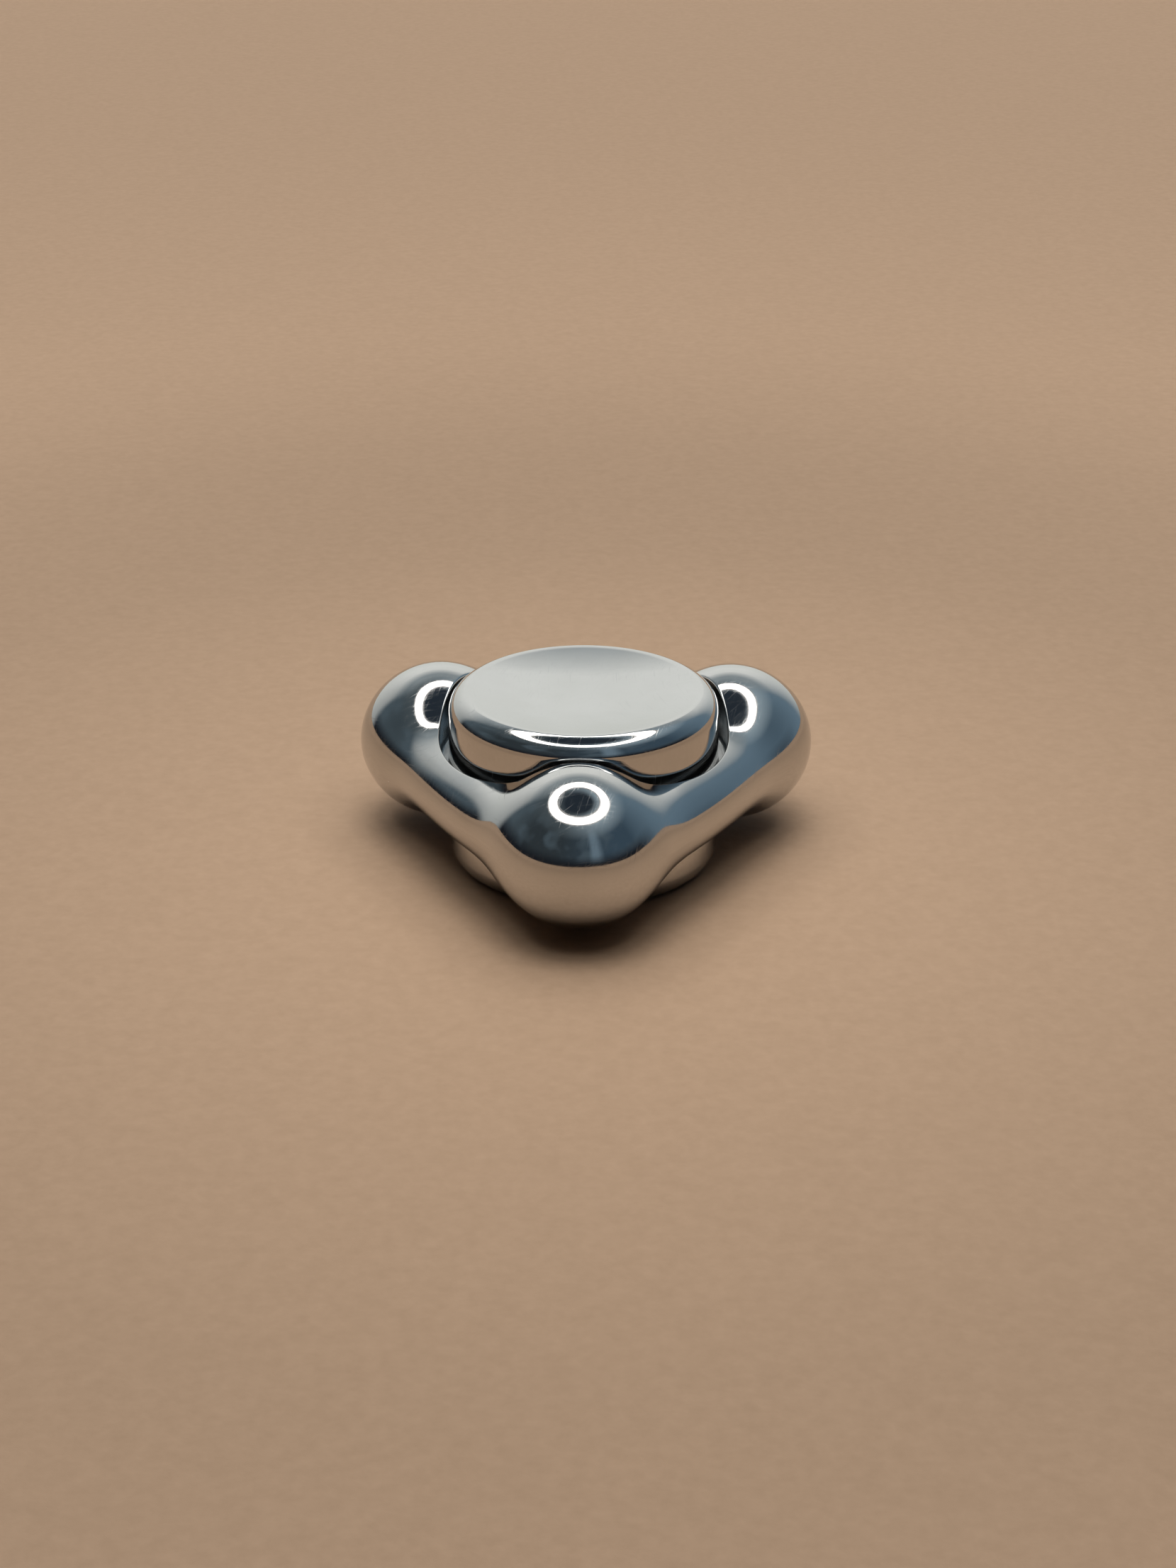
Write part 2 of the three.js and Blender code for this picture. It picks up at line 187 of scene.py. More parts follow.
# Soft lights: name, place, aim, size, spread in degrees and power. Lengths are in metres. Two
# light the object, and the others only the far floor and the backdrop.
SOFT_LIGHTS = (
    ("soft_light_overhead", (0, -0.1, 2.4), (0, 0, 0), 1.2, 180, 27),
    ("soft_light_behind", (0, 1.3, 1.9), (0, 0, 0), 1.8, 180, 15),
    ("soft_light_far_front", (0, -1.2, 1.5), (0, -1.9, 0), 2.2, 125, 13),
    ("soft_light_far_left", (-1.2, 0, 1.5), (-1.9, 0, 0), 2.2, 125, 13),
    ("soft_light_far_right", (1.2, 0, 1.5), (1.9, 0, 0), 2.2, 125, 13),
    ("soft_light_far_back", (0, 1.2, 1.5), (0, 1.9, 0), 2.2, 125, 13),
)

# Colours of the lamps and of the room that the steel mirrors.
LAMP_COLOUR = (1, 0.985, 0.95, 1)
SOFT_LIGHT_COLOUR = (1, 0.98, 0.95)
ROOM_LEFT = (0.032, 0.042, 0.048, 1)
ROOM_RIGHT = (0.045, 0.075, 0.105, 1)
ROOM_PATCH = (0.09, 0.125, 0.15, 1)
WINDOW = (0.15, 0.21, 0.26, 1)
BACK_LEFT = (0.08, 0.11, 0.13, 1)
BACK_RIGHT = (0.13, 0.195, 0.25, 1)
OVERHEAD_LEFT = (0.07, 0.09, 0.1, 1)
OVERHEAD_RIGHT = (0.3, 0.38, 0.43, 1)
SKIRTING = (0.012, 0.014, 0.018, 1)
CEILING = (0.28, 0.32, 0.335, 1)
WALL_EDGE = (0.28, 0.3, 0.3, 1)
WALL_LOW = (0.61, 0.625, 0.585, 1)
WALL_HIGH = (0.78, 0.79, 0.755, 1)
LAMP_MIDDLE = (0.022, 0.03, 0.04, 1)

# Floor paper: its two close tones, and the size of its mottle in millimetres.
FLOOR_COLOUR = (0.4, 0.275, 0.185, 1)
FLOOR_SHADE = (0.325, 0.22, 0.143, 1)
FLOOR_GRAIN = 1.1


# ---------------------------------------------------------------- outlines


def arc(centre, radius, start_deg, end_deg, steps):
    """Points on an arc, as (radius, z) pairs."""
    angles = np.radians(np.linspace(start_deg, end_deg, steps + 1))
    return [(centre[0] + radius * math.cos(a), centre[1] + radius * math.sin(a)) for a in angles]


def softened(corners, steps=4):
    """An outline whose corners (radius, z, rounding) are rounded off."""
    outline = []
    for i, (x, z, rounding) in enumerate(corners):
        if not rounding:
            outline.append((x, z))
            continue
        corner = Vector((x, z))
        before = Vector(corners[i - 1][:2]) - corner
        after = Vector(corners[(i + 1) % len(corners)][:2]) - corner
        first = corner + before.normalized() * rounding
        last = corner + after.normalized() * rounding
        for t in np.linspace(0, 1, steps + 1):
            point = first * (1 - t) ** 2 + corner * 2 * t * (1 - t) + last * t**2
            outline.append((point.x, point.y))
    return outline


def thread_rows(radius, start_z, end_z, pitch, rows_per_turn=10):
    """Closely spaced points along a cylinder, for a thread to be cut in."""
    count = max(2, int(abs(end_z - start_z) / pitch * rows_per_turn))
    return [(radius, z) for z in np.linspace(start_z, end_z, count)]


def below(outline):
    """The same outline seen from below."""
    return [(radius, -z) for radius, z in reversed(outline)]


# ---------------------------------------------------------------- meshes


def columns_round(count):
    """Azimuths evenly spaced round the spin axis, the first in the middle of a lobe."""
    return FIRST_LOBE_AZIMUTH + TAU * np.arange(count) / count


def turned_points(outline, columns):
    """An outline turned about the spin axis, as an array of columns x rows x 3."""
    profile = np.array(outline, float)
    azimuth = columns_round(columns)[:, None]
    radius = profile[None, :, 0] + 0 * azimuth
    height = profile[None, :, 1] + 0 * azimuth
    return polar_points(azimuth, radius, height)


def polar_points(azimuth, radius, height):
    """Points about the spin axis, as an array whose last axis is x, y, z."""
    return np.stack([radius * np.cos(azimuth), radius * np.sin(azimuth), height], -1)


def cut_thread(points, rows, pitch, depth, outward):
    """Moves some rows in or out along a helix, fading at both ends of the thread."""
    chosen = points[:, rows]
    radius = np.hypot(chosen[..., 0], chosen[..., 1])
    azimuth = np.arctan2(chosen[..., 1], chosen[..., 0])
    height = chosen[..., 2]
    phase = (height / pitch - azimuth / TAU) % 1
    tooth = np.clip(1.25 - 2.5 * np.abs(phase - 0.5), 0, 1)
    from_end = np.minimum(height - height.min(), height.max() - height)
    fade = np.clip(from_end / pitch, 0, 1)
    moved = radius + outward * depth * tooth * fade
    points[:, rows, 0] *= moved / radius
    points[:, rows, 1] *= moved / radius


def round_mesh(name, points, row_finish=None, closed=True):
    """A mesh of quads between neighbouring columns, wrapped all the way round."""
    columns, rows = points.shape[:2]
    index = np.arange(columns * rows).reshape(columns, rows)
    used = rows if closed else rows - 1
    here = index[:, :used]
    above = np.roll(index, -1, axis=1)[:, :used]
    beside = np.roll(here, -1, axis=0)
    beside_above = np.roll(above, -1, axis=0)
    faces = np.stack([here, beside, beside_above, above], -1).reshape(-1, 4)
    mesh = bpy.data.meshes.new(name)
    mesh.from_pydata((points.reshape(-1, 3) * MM).tolist(), [], faces.tolist())
    if row_finish is not None:
        mesh.polygons.foreach_set("material_index", np.tile(row_finish[:used], columns))
    return mesh


def tidy_mesh(mesh, sharp_deg=32):
    """Joins coincident points, faces everything outward and shades it smooth."""
    work = bmesh.new()
    work.from_mesh(mesh)
    bmesh.ops.remove_doubles(work, verts=work.verts, dist=1e-7)
    bmesh.ops.recalc_face_normals(work, faces=work.faces)
    work.to_mesh(mesh)
    work.free()
    mesh.polygons.foreach_set("use_smooth", [True] * len(mesh.polygons))
    mesh.set_sharp_from_angle(angle=math.radians(sharp_deg))
    mesh.update()
    return mesh


def add_piece(name, mesh, body, slot, *materials):
    """A finished piece that stands for the CAD node of the same name."""
    piece = bpy.data.objects.new(name + "_fine", tidy_mesh(mesh))
    bpy.context.scene.collection.objects.link(piece)
    for material in materials:
        mesh.materials.append(material)
    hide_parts(name)
    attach(piece, body)


def add_turned(name, outline, columns, body, slot, material):
    """A finished piece turned from a closed outline."""
    mesh = round_mesh(name, turned_points(outline, columns))
    add_piece(name, mesh, body, slot, material)


# ---------------------------------------------------------------- body


def smooth_min(a, b, width):
    """The lesser of two distances, with the fold between them smoothed away."""
    return np.minimum(a, b) - width * np.log1p(np.exp(-np.abs(a - b) / width))


def outline_distance(azimuth, radius):
    """Distance in plan to the plate's outline: round corners and arcs that bow outward."""
    from_side = math.pi / LOBE_COUNT - np.abs(azimuth)
    corner_out = LOBE_CENTRE_RADIUS * math.cos(math.pi / LOBE_COUNT)
    corner_along = LOBE_CENTRE_RADIUS * math.sin(math.pi / LOBE_COUNT)
    reach = (PLATE_SIDE_BULGE**2 + corner_along**2) / (2 * PLATE_SIDE_BULGE)
    arc_centre = corner_out + PLATE_SIDE_BULGE - reach
    out = radius * np.cos(from_side)
    along = radius * np.sin(from_side)
    at_corner = along * (corner_out - arc_centre) > corner_along * (out - arc_centre)
    to_corner = np.hypot(out - corner_out, along - corner_along)
    to_side = np.hypot(out - arc_centre, along) - reach
    return np.where(at_corner, to_corner, to_side) - PLATE_CORNER_RADIUS


def body_distance(azimuth, radius, z):
    """Distance to the body's skin, for an azimuth measured from the lobe's middle."""
    past = outline_distance(azimuth, radius) + PLATE_EDGE_RADIUS
    above = np.abs(z) - (PLATE_HALF_HEIGHT - PLATE_EDGE_RADIUS)
    outside = np.hypot(np.maximum(past, 0), np.maximum(above, 0))
    plate = outside + np.minimum(np.maximum(past, above), 0) - PLATE_EDGE_RADIUS
    along = radius * np.cos(azimuth) - LOBE_CENTRE_RADIUS
    plan = np.hypot(along, radius * np.sin(azimuth))
    scaled = np.hypot(plan / LOBE_RADIUS, z / LOBE_HALF_HEIGHT)
    slope = np.hypot(plan / LOBE_RADIUS**2, z / LOBE_HALF_HEIGHT**2)
    lobe = scaled * (scaled - 1) / slope
    return smooth_min(plate, lobe, BLEND_WIDTH)


def skin_points(azimuth, tilt):
    """Where rays from the well's wall at mid-height leave the body, as radius and z."""
    near = np.zeros(np.broadcast(azimuth, tilt).shape)
    far = near + LOBE_CENTRE_RADIUS
    for _ in range(40):
        middle = (near + far) / 2
        radius = WELL_RADIUS + middle * np.cos(tilt)
        inside = body_distance(azimuth, radius, middle * np.sin(tilt)) < 0
        near = np.where(inside, middle, near)
        far = np.where(inside, far, middle)
    return WELL_RADIUS + near * np.cos(tilt), near * np.sin(tilt)


def rounded_edge(corner_z, skin_radius, skin_z, steps=5):
    """Rows that lead from the well's wall over its rounded edge to the skin."""
    rounding = np.sign(corner_z) * WELL_EDGE_ROUNDING
    radii, heights = [], []
    for t in np.linspace(0, 1, steps + 1):
        wall, corner, skin = (1 - t) ** 2, 2 * t * (1 - t), t**2
        radii.append((wall + corner) * WELL_RADIUS + skin * skin_radius)
        heights.append(wall * (corner_z - rounding) + corner * corner_z + skin * skin_z)
    return np.stack(radii, 1), np.stack(heights, 1)


def housing_outline():
    """Lower well, bearing housing and upper well, and which of its rows carry the thread."""
    fillet, foot, bevel = WELL_FILLET, COLLAR_FILLET, COLLAR_ROUNDING
    middle = softened(
        [
            (WELL_RADIUS - fillet, -WELL_FLOOR_Z, 0),
            (COLLAR_RADIUS, -WELL_FLOOR_Z, foot),
            (COLLAR_RADIUS, COLLAR_BOTTOM_Z, bevel),
            (LIP_RADIUS, COLLAR_BOTTOM_Z, 0.12),
            (LIP_RADIUS, -BORE_HALF_LENGTH, 0),
            (BORE_RADIUS, -BORE_HALF_LENGTH, 0.03),
            (BORE_RADIUS, BORE_HALF_LENGTH, 0.08),
            (COLLAR_THREAD_RADIUS, BORE_HALF_LENGTH, 0),
        ]
    )
    lower_corner = arc((WELL_RADIUS - fillet, -WELL_FLOOR_Z - fillet), fillet, 0, 90, 4)
    lower = lower_corner[:-1] + middle
    thread = thread_rows(
        COLLAR_THREAD_RADIUS, BORE_HALF_LENGTH + 0.05, COLLAR_TOP_Z - 0.1, LOCK_PITCH
    )
    upper = [
        (COLLAR_THREAD_RADIUS + 0.08, COLLAR_TOP_Z),
        *arc((COLLAR_RADIUS - bevel, COLLAR_TOP_Z - bevel), bevel, 90, 0, 4),
        *arc((COLLAR_RADIUS + foot, WELL_FLOOR_Z + foot), foot, 180, 270, 4),
        *arc((WELL_RADIUS - fillet, WELL_FLOOR_Z + fillet), fillet, 270, 360, 4),
    ]
    rows = np.arange(len(lower), len(lower) + len(thread))
    return lower + thread + upper, rows


def add_body():
    """The body: the skin from the upper well's edge to the lower one's, then the housing."""
    azimuth = columns_round(BODY_COLUMNS)[:, None]
    third = TAU / LOBE_COUNT
    from_lobe = (azimuth - FIRST_LOBE_AZIMUTH + third / 2) % third - third / 2
    _, top_z = skin_points(from_lobe, np.full_like(azimuth, math.pi / 2))
    tilt_edge = math.pi / 2 - WELL_EDGE_ROUNDING / top_z
    tilt = tilt_edge * np.linspace(1, -1, SKIN_ROWS)[None, :]
    radius, height = skin_points(from_lobe, tilt)
    top_radius, top_height = rounded_edge(top_z[:, 0], radius[:, 0], height[:, 0])
    low_radius, low_height = rounded_edge(-top_z[:, 0], radius[:, -1], height[:, -1])
    housing, thread = housing_outline()
    inner = np.array(housing)[None] + np.zeros((BODY_COLUMNS, 1, 1))
    radius = np.hstack([top_radius[:, :-1], radius, low_radius[:, -2::-1], inner[..., 0]])
    height = np.hstack([top_height[:, :-1], height, low_height[:, -2::-1], inner[..., 1]])
    outer_rows = 2 * (top_radius.shape[1] - 1) + SKIN_ROWS
    points = polar_points(azimuth, radius, height)
    cut_thread(points, thread + outer_rows, LOCK_PITCH, LOCK_THREAD_DEPTH, 1)
    finish = np.ones(points.shape[1], int)
    finish[: outer_rows - 1] = 0
    mesh = round_mesh("tri_lobe_body", points, finish)
    add_piece("tri_lobe_body", mesh, "rotor", "polished_steel", POLISHED, TURNED)


# ---------------------------------------------------------------- buttons


def button_face():
    """Dish, rim, shoulder, side, underside and pocket, from the axis out and back in."""
    rim_inner = RIM_OUTER_RADIUS - RIM_WIDTH
    dish_radius = (rim_inner**2 + DISH_DEPTH**2) / (2 * DISH_DEPTH)
    reach = math.degrees(math.asin(rim_inner / dish_radius))
    dish_centre = (0, BUTTON_TOP_Z - DISH_DEPTH + dish_radius)
    start = math.radians(SHOULDER_START_DEG)
    shoulder = (BUTTON_RADIUS - RIM_OUTER_RADIUS) / (1 - math.cos(start))
    shoulder_centre = (BUTTON_RADIUS - shoulder, BUTTON_TOP_Z - shoulder * math.sin(start))
    dish = arc(dish_centre, dish_radius, -90, -90 + reach, 32)
    dish[0] = (0, dish[0][1])
    back = softened(
        [
            (BUTTON_RADIUS, BUTTON_TOP_Z - shoulder, 0),
            (BUTTON_RADIUS, BUTTON_UNDERSIDE_Z, 0.2),
            (POCKET_RADIUS, BUTTON_UNDERSIDE_Z, 0.15),
            (POCKET_RADIUS, POCKET_CEILING_Z, 0.3),
            (SEAT_RADIUS, POCKET_CEILING_Z, 0.2),
            (SEAT_RADIUS, SEAT_Z, 0.08),
            (STUD_RADIUS, SEAT_Z, 0),
        ]
    )
    front = dish + arc(shoulder_centre, shoulder, SHOULDER_START_DEG, 0, 32)
    return front, back[1:-1]


def add_button(name, front, back, inside, thread, flip=False):
    """A button from its front, its back and the outline of its stud or socket. thread says
    at which rows of that outline its thread starts and ends, and which way it stands out."""
    outline = front + back + inside
    points = turned_points(outline, BUTTON_COLUMNS)
    if flip:
        points[..., 2] *= -1
    first, last, outward = thread
    rows = len(front) + len(back) + np.arange(first, last)
    cut_thread(points, rows, STUD_PITCH, STUD_THREAD_DEPTH, outward)
    finish = np.ones(len(outline), int)
    finish[: len(front)] = 0
    mesh = round_mesh(name, points, finish, closed=False)
    add_piece(name, mesh, "hub", "polished_steel", POLISHED, TURNED)


def add_top_button(front, back):
    """The button with a threaded stud, which has a plain neck and a chamfered end."""
    root = STUD_ROOT_RADIUS
    neck = [(root, SEAT_Z), (root, SEAT_Z - 0.75 * STUD_NECK)]
    thread = thread_rows(root, SEAT_Z - STUD_NECK, STUD_END_Z + 0.3, STUD_PITCH)
    end = [(root - 0.05, STUD_END_Z + 0.2), (root - STUD_CHAMFER, STUD_END_Z), (0, STUD_END_Z)]
    rows = (len(neck), len(neck) + len(thread), 1)
    add_button("top_button", front, back, neck + thread + end, rows)


def add_bottom_button(front, back):
    """The button with a threaded socket in a boss, drawn as the upper one and turned over."""
    mouth = -BOSS_END_Z
    bottom = -SOCKET_BOTTOM_Z
    corner = [(BOSS_RADIUS, SEAT_Z + 1, 0), (BOSS_RADIUS, mouth, 0.15), (0, mouth, 0)]
    boss = [*softened(corner)[1:-1], (SOCKET_RADIUS + 0.12, mouth)]
    thread = thread_rows(SOCKET_RADIUS, mouth + SOCKET_LEAD, bottom - SOCKET_RUN_OUT, STUD_PITCH)
    end = [(SOCKET_RADIUS, bottom - 0.2), (SOCKET_RADIUS - 0.4, bottom), (0, bottom + 0.35)]
    rows = (len(boss), len(boss) + len(thread), -1)
    add_button("bottom_button", front, back, boss + thread + end, rows, flip=True)


def add_buttons():
    front, back = button_face()
    add_top_button(front, back)
    add_bottom_button(front, back)


# ---------------------------------------------------------------- bearing


def add_outer_ring():
    """The ring that turns, with a ball groove, shield recesses and snap ring grooves."""
    half_groove = math.degrees(math.acos((OUTER_LAND_RADIUS - PITCH_RADIUS) / GROOVE_RADIUS))
    upper = [
        (BEARING_OUTER_RADIUS, BEARING_HALF_WIDTH, 0.16),
        (SHIELD_RECESS_RADIUS, BEARING_HALF_WIDTH, 0.06),
        (SHIELD_RECESS_RADIUS, SNAP_GROOVE_HIGH_Z, 0.02),
        (SNAP_GROOVE_RADIUS, SNAP_GROOVE_HIGH_Z, 0.04),
        (SNAP_GROOVE_RADIUS, SNAP_GROOVE_LOW_Z, 0.04),
        (SHIELD_RECESS_RADIUS, SNAP_GROOVE_LOW_Z, 0.02),
        (SHIELD_RECESS_RADIUS, SHIELD_SEAT_Z, 0.03),
        (OUTER_LAND_RADIUS, SHIELD_SEAT_Z, 0.05),
        (OUTER_LAND_RADIUS, 0, 0),
    ]
    upper = softened([(BEARING_OUTER_RADIUS, 0, 0), *upper])[1:-1]
    groove = arc((PITCH_RADIUS, 0), GROOVE_RADIUS, half_groove, -half_groove, 24)
    outline = upper + groove + below(upper)
    add_turned(
        "bearing_outer_ring", outline, BEARING_COLUMNS, "rotor", "bearing_steel", GROUND
    )


def add_inner_ring():
    """The ring that the buttons clamp, with a ball groove."""
    half_groove = math.degrees(math.acos((PITCH_RADIUS - INNER_LAND_RADIUS) / GROOVE_RADIUS))
    upper = softened(
        [
            (INNER_LAND_RADIUS, 0, 0),
            (INNER_LAND_RADIUS, BEARING_HALF_WIDTH, 0.12),
            (BEARING_BORE_RADIUS, BEARING_HALF_WIDTH, 0.2),
            (BEARING_BORE_RADIUS, 0, 0),
        ]
    )[1:-1]
    groove = arc((PITCH_RADIUS, 0), GROOVE_RADIUS, 180 + half_groove, 180 - half_groove, 24)
    outline = groove + upper + below(upper)
    add_turned("bearing_inner_ring", outline, BEARING_COLUMNS, "hub", "bearing_steel", GROUND)


def ball_centre(index):
    azimuth = TAU * (index + 0.5) / BALL_COUNT
    return Vector((math.cos(azimuth), math.sin(azimuth), 0)) * PITCH_RADIUS * MM


def ball_mesh(name, centre, radius):
    """A ball, with its centre in metres and its radius in millimetres."""
    work = bmesh.new()
    bmesh.ops.create_icosphere(work, subdivisions=5, radius=radius * MM)
    bmesh.ops.translate(work, verts=work.verts, vec=centre)
    mesh = bpy.data.meshes.new(name)
    work.to_mesh(mesh)
    work.free()
    return mesh


def add_balls():
    for index in range(BALL_COUNT):
        number = f"{index + 1:02d}"
        name = "bearing_ball_" + number
        mesh = ball_mesh(name, ball_centre(index), BALL_RADIUS)
        add_piece(name, mesh, "ball_" + number, "ball_steel", LAPPED)


def add_cage():
    """A crown cage: a rounded ring with a round pocket cut for each ball."""
    ring = softened(
        [
            (CAGE_INNER_RADIUS, CAGE_BOTTOM_Z, 0.12),
            (CAGE_OUTER_RADIUS, CAGE_BOTTOM_Z, 0.12),
            (CAGE_OUTER_RADIUS, CAGE_TOP_Z, 0.08),
            (CAGE_INNER_RADIUS, CAGE_TOP_Z, 0.08),
        ]
    )
    mesh = tidy_mesh(round_mesh("cage_blank", turned_points(ring, 240)))
    blank = bpy.data.objects.new("cage_blank", mesh)
    pockets = bmesh.new()
    for index in range(BALL_COUNT):
        pockets.from_mesh(ball_mesh("pocket", ball_centre(index), GROOVE_RADIUS))
    cutter_mesh = bpy.data.meshes.new("cage_pockets")
    pockets.to_mesh(cutter_mesh)
    pockets.free()
    cutter = bpy.data.objects.new("cage_pockets", cutter_mesh)
    for helper in (blank, cutter):
        bpy.context.scene.collection.objects.link(helper)
    cut = blank.modifiers.new("pockets", "BOOLEAN")
    cut.operation = "DIFFERENCE"
    cut.object = cutter
    evaluated = blank.evaluated_get(bpy.context.evaluated_depsgraph_get())
    result = bpy.data.meshes.new_from_object(evaluated)
    for helper in (blank, cutter):
        bpy.data.objects.remove(helper)
    add_piece("bearing_cage", result, "cage", "cage_steel", SATIN)


# ---------------------------------------------------------------- small rings


def sided(outline, side):
    """An outline drawn for the top, or the same one turned over for the bottom."""
    return outline if side == "top" else below(outline)


def add_shield(side):
    """Thin pressed sheet: a flat rim in the ring's recess and a raised middle."""
    step = SHIELD_HIGH_Z - SHIELD_LOW_Z - SHIELD_SHEET
    bend = (SHIELD_INNER_RADIUS + SHIELD_OUTER_RADIUS) / 2 + 0.2
    low = SHIELD_LOW_Z
    high = low + SHIELD_SHEET
    outline = softened(
        [
            (SHIELD_OUTER_RADIUS, low, 0.03),
            (SHIELD_OUTER_RADIUS, high, 0.03),
            (bend + 0.08, high, 0.05),
            (bend - 0.08, high + step, 0.05),
            (SHIELD_INNER_RADIUS, high + step, 0.03),
            (SHIELD_INNER_RADIUS, low + step, 0.03),
            (bend - 0.08, low + step, 0.05),
            (bend + 0.08, low, 0.05),
        ]
    )
    name = "bearing_shield_" + side
    add_turned(name, sided(outline, side), BEARING_COLUMNS, "rotor", "shield_steel", PRESSED)


def add_snap_ring(side):
    """An open ring of flat spring wire with rounded edges and closed ends."""
    name = "shield_snap_ring_" + side
    _, low, high = extent(name)
    section = softened(
        [
            (SNAP_RING_INNER_RADIUS, low, 0.05),
            (SNAP_RING_OUTER_RADIUS, low, 0.05),
            (SNAP_RING_OUTER_RADIUS, high, 0.05),
            (SNAP_RING_INNER_RADIUS, high, 0.05),
        ],
        3,
    )
    half_gap = math.radians(SNAP_RING_GAP_DEG / 2)
    azimuth = np.linspace(half_gap, TAU - half_gap, 160)[:, None]
    profile = np.array(section)[None]
    middle = profile.mean(axis=1, keepdims=True)
    wire = profile + np.zeros((len(azimuth), 1, 1))
    ends = np.ones(len(azimuth))
    ends[[0, -1]] = 0.7
    wire = middle + (wire - middle) * ends[:, None, None]
    points = polar_points(azimuth, wire[..., 0], wire[..., 1])
    caps = np.stack([points[0] * 0 + points[0].mean(0), points[-1] * 0 + points[-1].mean(0)])
    points = np.concatenate([caps[:1], points, caps[1:]])
    columns, rows = points.shape[:2]
    index = np.arange(columns * rows).reshape(columns, rows)
    around = np.roll(index, -1, axis=1)
    faces = np.stack([index[:-1], index[1:], around[1:], around[:-1]], -1).reshape(-1, 4)
    mesh = bpy.data.meshes.new(name)
    mesh.from_pydata((points.reshape(-1, 3) * MM).tolist(), [], faces.tolist())
    add_piece(name, mesh, "rotor", "spring_steel", SPRING)


def add_spacer(side):
    """A flat washer between the inner ring and a button."""
    outline = softened(
        [
            (SPACER_INNER_RADIUS, SPACER_LOW_Z, 0.05),
            (SPACER_OUTER_RADIUS, SPACER_LOW_Z, 0.05),
            (SPACER_OUTER_RADIUS, SPACER_HIGH_Z, 0.05),
            (SPACER_INNER_RADIUS, SPACER_HIGH_Z, 0.05),
        ]
    )
    name = "bearing_spacer_" + side
    add_turned(name, sided(outline, side), 128, "hub", "shield_steel", PRESSED)


def notched_edge():
    """Azimuths round the lock ring and its inner radius at each: a notch, then a land."""
    pitch = TAU / NOTCH_COUNT
    notch = math.radians(NOTCH_WIDTH_DEG)
    azimuths, edges = [], []
    for start in pitch * np.arange(NOTCH_COUNT):
        azimuths += [np.linspace(start, start + notch, 9)]
        azimuths += [np.linspace(start + notch, start + pitch, 40)]
        edges += [np.full(9, NOTCH_RADIUS), np.full(40, LOCK_RING_INNER_RADIUS)]
    return np.concatenate(azimuths)[:, None], np.concatenate(edges)[:, None]


def add_lock_ring():
    """A threaded ring, with spanner notches cut square into its inner edge."""
    low, high, bevel = LOCK_RING_LOW_Z, LOCK_RING_HIGH_Z, LOCK_RING_BEVEL
    root = LOCK_RING_OUTER_RADIUS - LOCK_THREAD_DEPTH
    thread = thread_rows(root, low + bevel, high - bevel, LOCK_PITCH)
    outer = np.array([(root - bevel, low), *thread, (root - bevel, high)])
    inner = np.array([(bevel, high), (0, high - bevel), (0, low + bevel), (bevel, low)])
    azimuth, edge = notched_edge()
    radius = np.hstack([outer[:, 0] + 0 * azimuth, inner[:, 0] + edge])
    height = np.hstack([outer[:, 1] + 0 * azimuth, inner[:, 1] + 0 * azimuth])
    points = polar_points(azimuth, radius, height)
    cut_thread(points, np.arange(1, len(outer) - 1), LOCK_PITCH, LOCK_THREAD_DEPTH, 1)
    mesh = round_mesh("bearing_lock_ring", points)
    add_piece("bearing_lock_ring", mesh, "rotor", "spring_steel", SPRING)


# ---------------------------------------------------------------- materials


class Shader:
    """A small helper that adds nodes to a tree and joins them up."""

    def __init__(self, tree):
        self.tree = tree

    def node(self, kind, inputs=None, **settings):
        made = self.tree.nodes.new(kind)
        for key, value in settings.items():
            setattr(made, key, value)
        for key, value in (inputs or {}).items():
            self.put(made.inputs[key], value)
        return made

    def put(self, socket, value):
        if isinstance(value, bpy.types.NodeSocket):
            self.tree.links.new(value, socket)
        else:
            socket.default_value = value

    def maths(self, operation, *values):
        made = self.node("ShaderNodeMath", operation=operation)
        for socket, value in zip(made.inputs, values):
            self.put(socket, value)
        return made.outputs[0]

    def ramp(self, value, low, high, to_low, to_high):
        """Takes a value from one range to another, held at both ends."""
        inputs = {0: value, 1: low, 2: high, 3: to_low, 4: to_high}
        return self.node("ShaderNodeMapRange", inputs).outputs[0]

    def blend(self, share, first, second):
        made = self.node("ShaderNodeMix", data_type="RGBA")
        self.put(made.inputs[0], share)
        self.put(made.inputs[6], first)
        self.put(made.inputs[7], second)
        return made.outputs[2]

    def layer(self, under, colour, *masks):
        """Lays a colour over what is under it, as far as all the masks let it show."""
        share = masks[0]
        for mask in masks[1:]:
            share = self.maths("MULTIPLY", share, mask)
        return self.blend(share, under, colour)

    def noise(self, place, size_mm, detail=3.0, stretch=None):
        """Noise whose features are about size_mm across, stretched along one axis if asked."""
        if stretch is not None:
            turn, longer = stretch
            mapping = {0: place, 2: turn, 3: longer}
            place = self.node("ShaderNodeMapping", mapping, vector_type="TEXTURE").outputs[0]
        inputs = {"Vector": place, "Scale": 1 / (size_mm * MM), "Detail": detail}
        return self.node("ShaderNodeTexNoise", inputs).outputs[0]


def start_material(name):
    """A new material, its node helper, its surface shader and the place on the piece."""
    material = bpy.data.materials.new(name)
    material.use_nodes = True
    tree = material.node_tree
    tree.nodes.clear()
    shader = Shader(tree)
    output = shader.node("ShaderNodeOutputMaterial")
    surface = shader.node("ShaderNodeBsdfPrincipled")
    tree.links.new(surface.outputs[0], output.inputs[0])
    place = shader.node("ShaderNodeTexCoord").outputs["Object"]
    return material, shader, surface, place


def grey(level, tint=(1, 1, 1)):
    """A grey of this level, tinted if asked."""
    return (level * tint[0], level * tint[1], level * tint[2], 1)


